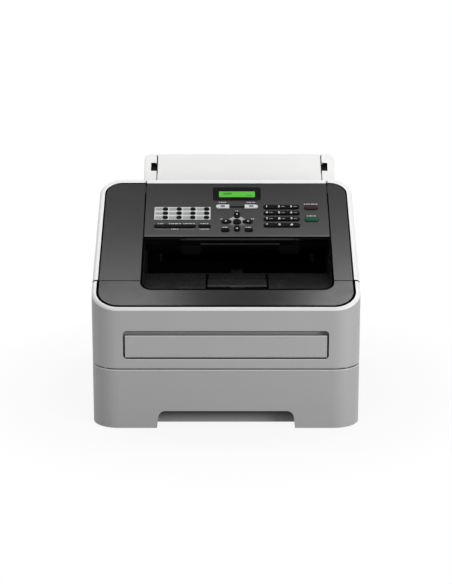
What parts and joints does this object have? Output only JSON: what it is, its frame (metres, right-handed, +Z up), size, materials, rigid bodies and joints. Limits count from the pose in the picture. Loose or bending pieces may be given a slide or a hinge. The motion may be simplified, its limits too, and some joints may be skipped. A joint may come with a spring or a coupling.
{
  "type": "fax machine",
  "caption": "Compact laser fax machine: grey body with white rim, sloping dark top with tilting key panel, output well, document rest, paper tray and opening covers",
  "frame": {"origin": "middle of the footprint of the whole machine, on the ground under the rubber feet", "axes": "X to the right as seen from the front, Y from the front to the back, Z up"},
  "size_m": [0.368, 0.36, 0.3113],
  "materials": {
    "frame_plastic": "fine matt moulded plastic",
    "cover_grey": "fine textured light grey plastic with a white upper rim",
    "front_grey": "fine textured light grey plastic, white rim, dark top strip",
    "tray_grey": "fine textured light grey plastic",
    "flap_grey": "fine textured light grey plastic",
    "rear_grey": "fine textured light grey plastic",
    "top_dark": "satin dark grey plastic",
    "panel_dark": "satin dark grey plastic with a white rear rim",
    "well_black": "semi-gloss black plastic",
    "flap_black": "semi-gloss black plastic",
    "base_black": "matt black plastic",
    "toner_black": "matt black plastic",
    "rest_white": "fine matt white plastic",
    "support_white": "fine matt white plastic",
    "display_clear": "polished dark window with a lit green display",
    "key_black": "satin black plastic",
    "key_silver": "satin silver paint",
    "key_red": "satin dark red plastic",
    "key_green": "satin green plastic",
    "sheet_steel": "plain zinc-plated sheet",
    "roller_rubber": "smooth black rubber on a steel shaft",
    "roller_red": "smooth red silicone on a steel shaft",
    "foot_rubber": "soft black rubber",
    "screw_steel": "black zinc-plated steel"
  },
  "bodies": {
    "body": {"chassis": "frame_plastic", "left_side_cover": "cover_grey", "right_side_cover": "cover_grey", "top_cover": "top_dark", "output_tray": "well_black", "document_rest": "rest_white", "toner_cartridge": "toner_black", "rubber_feet": "foot_rubber", "case_screws": "screw_steel"},
    "front_cover": {"front_cover": "front_grey"},
    "manual_feed_cover": {"manual_feed_cover": "flap_grey"},
    "paper_tray": {"paper_tray": "tray_grey"},
    "lift_plate": {"lift_plate": "sheet_steel"},
    "control_panel": {"control_panel": "panel_dark", "panel_base": "base_black", "display_window": "display_clear"},
    "document_support": {"document_support": "support_white"},
    "output_flap": {"output_flap": "flap_black"},
    "rear_cover": {"rear_cover": "rear_grey"},
    "scan_roller": {"scan_roller": "roller_rubber"},
    "pressure_roller": {"pressure_roller": "roller_red"},
    "one_touch_key_1": {"one_touch_key_1": "key_black"},
    "one_touch_key_2": {"one_touch_key_2": "key_black"},
    "one_touch_key_3": {"one_touch_key_3": "key_black"},
    "one_touch_key_4": {"one_touch_key_4": "key_black"},
    "one_touch_key_5": {"one_touch_key_5": "key_black"},
    "one_touch_key_6": {"one_touch_key_6": "key_black"},
    "one_touch_key_7": {"one_touch_key_7": "key_black"},
    "one_touch_key_8": {"one_touch_key_8": "key_black"},
    "one_touch_key_9": {"one_touch_key_9": "key_black"},
    "one_touch_key_10": {"one_touch_key_10": "key_black"},
    "one_touch_key_11": {"one_touch_key_11": "key_black"},
    "one_touch_key_12": {"one_touch_key_12": "key_black"},
    "hook_key": {"hook_key": "key_black"},
    "redial_key": {"redial_key": "key_black"},
    "resolution_key": {"resolution_key": "key_black"},
    "report_key": {"report_key": "key_black"},
    "fax_mode_key": {"fax_mode_key": "key_silver"},
    "copy_mode_key": {"copy_mode_key": "key_silver"},
    "up_key": {"up_key": "key_black"},
    "ok_key": {"ok_key": "key_black"},
    "down_key": {"down_key": "key_black"},
    "left_key": {"left_key": "key_black"},
    "right_key": {"right_key": "key_black"},
    "clear_key": {"clear_key": "key_black"},
    "menu_key": {"menu_key": "key_black"},
    "digit_1_key": {"digit_1_key": "key_black"},
    "digit_2_key": {"digit_2_key": "key_black"},
    "digit_3_key": {"digit_3_key": "key_black"},
    "digit_4_key": {"digit_4_key": "key_black"},
    "digit_5_key": {"digit_5_key": "key_black"},
    "digit_6_key": {"digit_6_key": "key_black"},
    "digit_7_key": {"digit_7_key": "key_black"},
    "digit_8_key": {"digit_8_key": "key_black"},
    "digit_9_key": {"digit_9_key": "key_black"},
    "star_key": {"star_key": "key_black"},
    "digit_0_key": {"digit_0_key": "key_black"},
    "hash_key": {"hash_key": "key_black"},
    "stop_key": {"stop_key": "key_red"},
    "start_key": {"start_key": "key_green"}
  },
  "joints": [
    {"name": "front_cover_hinge", "type": "hinge", "parent": "body", "child": "front_cover", "pos_m": [0, -0.174, 0.0962], "axis": [1, 0, 0], "range_deg": [0, 88]},
    {"name": "manual_feed_hinge", "type": "hinge", "parent": "front_cover", "child": "manual_feed_cover", "pos_m": [0, -0.1775, 0.1045], "axis": [1, 0, 0], "range_deg": [0, 90]},
    {"name": "paper_tray_slide", "type": "slide", "parent": "body", "child": "paper_tray", "axis": [0, -1, 0], "range_m": [0, 0.26]},
    {"name": "lift_plate_hinge", "type": "hinge", "parent": "paper_tray", "child": "lift_plate", "pos_m": [0, 0.022, 0.01105], "axis": [-1, 0, 0], "range_deg": [0, 7]},
    {"name": "control_panel_hinge", "type": "hinge", "parent": "body", "child": "control_panel", "pos_m": [0.0156, 0.09449, 0.27854], "axis": [-1, 0, 0], "range_deg": [0, 42]},
    {"name": "document_support_slide", "type": "slide", "parent": "body", "child": "document_support", "axis": [0, 0.8387, 0.5446], "range_m": [0, 0.045]},
    {"name": "output_flap_hinge", "type": "hinge", "parent": "body", "child": "output_flap", "pos_m": [0.0155, -0.0764, 0.1826], "axis": [-1, 0, 0], "range_deg": [0, 60]},
    {"name": "rear_cover_hinge", "type": "hinge", "parent": "body", "child": "rear_cover", "pos_m": [0.0155, 0.1775, 0.0997], "axis": [-1, 0, 0], "range_deg": [0, 90]},
    {"name": "scan_roller_spin", "type": "hinge", "parent": "control_panel", "child": "scan_roller", "pos_m": [0.0155, 0.05302, 0.25572], "axis": [1, 0, 0], "continuous": true},
    {"name": "pressure_roller_spin", "type": "hinge", "parent": "body", "child": "pressure_roller", "pos_m": [0.0155, 0.125, 0.12], "axis": [1, 0, 0], "continuous": true},
    {"name": "one_touch_key_1_press", "type": "slide", "parent": "control_panel", "child": "one_touch_key_1", "axis": [0, 0.3778, -0.9259], "range_m": [0, 0.0012], "stiffness_N_per_m": 400, "springref_m": -0.0008},
    {"name": "one_touch_key_2_press", "type": "slide", "parent": "control_panel", "child": "one_touch_key_2", "axis": [0, 0.3778, -0.9259], "range_m": [0, 0.0012], "stiffness_N_per_m": 400, "springref_m": -0.0008},
    {"name": "one_touch_key_3_press", "type": "slide", "parent": "control_panel", "child": "one_touch_key_3", "axis": [0, 0.3778, -0.9259], "range_m": [0, 0.0012], "stiffness_N_per_m": 400, "springref_m": -0.0008},
    {"name": "one_touch_key_4_press", "type": "slide", "parent": "control_panel", "child": "one_touch_key_4", "axis": [0, 0.3778, -0.9259], "range_m": [0, 0.0012], "stiffness_N_per_m": 400, "springref_m": -0.0008},
    {"name": "one_touch_key_5_press", "type": "slide", "parent": "control_panel", "child": "one_touch_key_5", "axis": [0, 0.3778, -0.9259], "range_m": [0, 0.0012], "stiffness_N_per_m": 400, "springref_m": -0.0008},
    {"name": "one_touch_key_6_press", "type": "slide", "parent": "control_panel", "child": "one_touch_key_6", "axis": [0, 0.3778, -0.9259], "range_m": [0, 0.0012], "stiffness_N_per_m": 400, "springref_m": -0.0008},
    {"name": "one_touch_key_7_press", "type": "slide", "parent": "control_panel", "child": "one_touch_key_7", "axis": [0, 0.3778, -0.9259], "range_m": [0, 0.0012], "stiffness_N_per_m": 400, "springref_m": -0.0008},
    {"name": "one_touch_key_8_press", "type": "slide", "parent": "control_panel", "child": "one_touch_key_8", "axis": [0, 0.3778, -0.9259], "range_m": [0, 0.0012], "stiffness_N_per_m": 400, "springref_m": -0.0008},
    {"name": "one_touch_key_9_press", "type": "slide", "parent": "control_panel", "child": "one_touch_key_9", "axis": [0, 0.3778, -0.9259], "range_m": [0, 0.0012], "stiffness_N_per_m": 400, "springref_m": -0.0008},
    {"name": "one_touch_key_10_press", "type": "slide", "parent": "control_panel", "child": "one_touch_key_10", "axis": [0, 0.3778, -0.9259], "range_m": [0, 0.0012], "stiffness_N_per_m": 400, "springref_m": -0.0008},
    {"name": "one_touch_key_11_press", "type": "slide", "parent": "control_panel", "child": "one_touch_key_11", "axis": [0, 0.3778, -0.9259], "range_m": [0, 0.0012], "stiffness_N_per_m": 400, "springref_m": -0.0008},
    {"name": "one_touch_key_12_press", "type": "slide", "parent": "control_panel", "child": "one_touch_key_12", "axis": [0, 0.3778, -0.9259], "range_m": [0, 0.0012], "stiffness_N_per_m": 400, "springref_m": -0.0008},
    {"name": "hook_key_press", "type": "slide", "parent": "control_panel", "child": "hook_key", "axis": [0, 0.3778, -0.9259], "range_m": [0, 0.0012], "stiffness_N_per_m": 400, "springref_m": -0.0008},
    {"name": "redial_key_press", "type": "slide", "parent": "control_panel", "child": "redial_key", "axis": [0, 0.3778, -0.9259], "range_m": [0, 0.0012], "stiffness_N_per_m": 400, "springref_m": -0.0008},
    {"name": "resolution_key_press", "type": "slide", "parent": "control_panel", "child": "resolution_key", "axis": [0, 0.3778, -0.9259], "range_m": [0, 0.0012], "stiffness_N_per_m": 400, "springref_m": -0.0008},
    {"name": "report_key_press", "type": "slide", "parent": "control_panel", "child": "report_key", "axis": [0, 0.3778, -0.9259], "range_m": [0, 0.0012], "stiffness_N_per_m": 400, "springref_m": -0.0008},
    {"name": "fax_mode_key_press", "type": "slide", "parent": "control_panel", "child": "fax_mode_key", "axis": [0, 0.3778, -0.9259], "range_m": [0, 0.0012], "stiffness_N_per_m": 400, "springref_m": -0.0008},
    {"name": "copy_mode_key_press", "type": "slide", "parent": "control_panel", "child": "copy_mode_key", "axis": [0, 0.3778, -0.9259], "range_m": [0, 0.0012], "stiffness_N_per_m": 400, "springref_m": -0.0008},
    {"name": "up_key_press", "type": "slide", "parent": "control_panel", "child": "up_key", "axis": [0, 0.3778, -0.9259], "range_m": [0, 0.0012], "stiffness_N_per_m": 400, "springref_m": -0.0008},
    {"name": "ok_key_press", "type": "slide", "parent": "control_panel", "child": "ok_key", "axis": [0, 0.3778, -0.9259], "range_m": [0, 0.0012], "stiffness_N_per_m": 400, "springref_m": -0.0008},
    {"name": "down_key_press", "type": "slide", "parent": "control_panel", "child": "down_key", "axis": [0, 0.3778, -0.9259], "range_m": [0, 0.0012], "stiffness_N_per_m": 400, "springref_m": -0.0008},
    {"name": "left_key_press", "type": "slide", "parent": "control_panel", "child": "left_key", "axis": [0, 0.3778, -0.9259], "range_m": [0, 0.0012], "stiffness_N_per_m": 400, "springref_m": -0.0008},
    {"name": "right_key_press", "type": "slide", "parent": "control_panel", "child": "right_key", "axis": [0, 0.3778, -0.9259], "range_m": [0, 0.0012], "stiffness_N_per_m": 400, "springref_m": -0.0008},
    {"name": "clear_key_press", "type": "slide", "parent": "control_panel", "child": "clear_key", "axis": [0, 0.3778, -0.9259], "range_m": [0, 0.0012], "stiffness_N_per_m": 400, "springref_m": -0.0008},
    {"name": "menu_key_press", "type": "slide", "parent": "control_panel", "child": "menu_key", "axis": [0, 0.3778, -0.9259], "range_m": [0, 0.0012], "stiffness_N_per_m": 400, "springref_m": -0.0008},
    {"name": "digit_1_key_press", "type": "slide", "parent": "control_panel", "child": "digit_1_key", "axis": [0, 0.3778, -0.9259], "range_m": [0, 0.0012], "stiffness_N_per_m": 400, "springref_m": -0.0008},
    {"name": "digit_2_key_press", "type": "slide", "parent": "control_panel", "child": "digit_2_key", "axis": [0, 0.3778, -0.9259], "range_m": [0, 0.0012], "stiffness_N_per_m": 400, "springref_m": -0.0008},
    {"name": "digit_3_key_press", "type": "slide", "parent": "control_panel", "child": "digit_3_key", "axis": [0, 0.3778, -0.9259], "range_m": [0, 0.0012], "stiffness_N_per_m": 400, "springref_m": -0.0008},
    {"name": "digit_4_key_press", "type": "slide", "parent": "control_panel", "child": "digit_4_key", "axis": [0, 0.3778, -0.9259], "range_m": [0, 0.0012], "stiffness_N_per_m": 400, "springref_m": -0.0008},
    {"name": "digit_5_key_press", "type": "slide", "parent": "control_panel", "child": "digit_5_key", "axis": [0, 0.3778, -0.9259], "range_m": [0, 0.0012], "stiffness_N_per_m": 400, "springref_m": -0.0008},
    {"name": "digit_6_key_press", "type": "slide", "parent": "control_panel", "child": "digit_6_key", "axis": [0, 0.3778, -0.9259], "range_m": [0, 0.0012], "stiffness_N_per_m": 400, "springref_m": -0.0008},
    {"name": "digit_7_key_press", "type": "slide", "parent": "control_panel", "child": "digit_7_key", "axis": [0, 0.3778, -0.9259], "range_m": [0, 0.0012], "stiffness_N_per_m": 400, "springref_m": -0.0008},
    {"name": "digit_8_key_press", "type": "slide", "parent": "control_panel", "child": "digit_8_key", "axis": [0, 0.3778, -0.9259], "range_m": [0, 0.0012], "stiffness_N_per_m": 400, "springref_m": -0.0008},
    {"name": "digit_9_key_press", "type": "slide", "parent": "control_panel", "child": "digit_9_key", "axis": [0, 0.3778, -0.9259], "range_m": [0, 0.0012], "stiffness_N_per_m": 400, "springref_m": -0.0008},
    {"name": "star_key_press", "type": "slide", "parent": "control_panel", "child": "star_key", "axis": [0, 0.3778, -0.9259], "range_m": [0, 0.0012], "stiffness_N_per_m": 400, "springref_m": -0.0008},
    {"name": "digit_0_key_press", "type": "slide", "parent": "control_panel", "child": "digit_0_key", "axis": [0, 0.3778, -0.9259], "range_m": [0, 0.0012], "stiffness_N_per_m": 400, "springref_m": -0.0008},
    {"name": "hash_key_press", "type": "slide", "parent": "control_panel", "child": "hash_key", "axis": [0, 0.3778, -0.9259], "range_m": [0, 0.0012], "stiffness_N_per_m": 400, "springref_m": -0.0008},
    {"name": "stop_key_press", "type": "slide", "parent": "control_panel", "child": "stop_key", "axis": [0, 0.3778, -0.9259], "range_m": [0, 0.0012], "stiffness_N_per_m": 400, "springref_m": -0.0008},
    {"name": "start_key_press", "type": "slide", "parent": "control_panel", "child": "start_key", "axis": [0, 0.3778, -0.9259], "range_m": [0, 0.0012], "stiffness_N_per_m": 400, "springref_m": -0.0008}
  ]
}
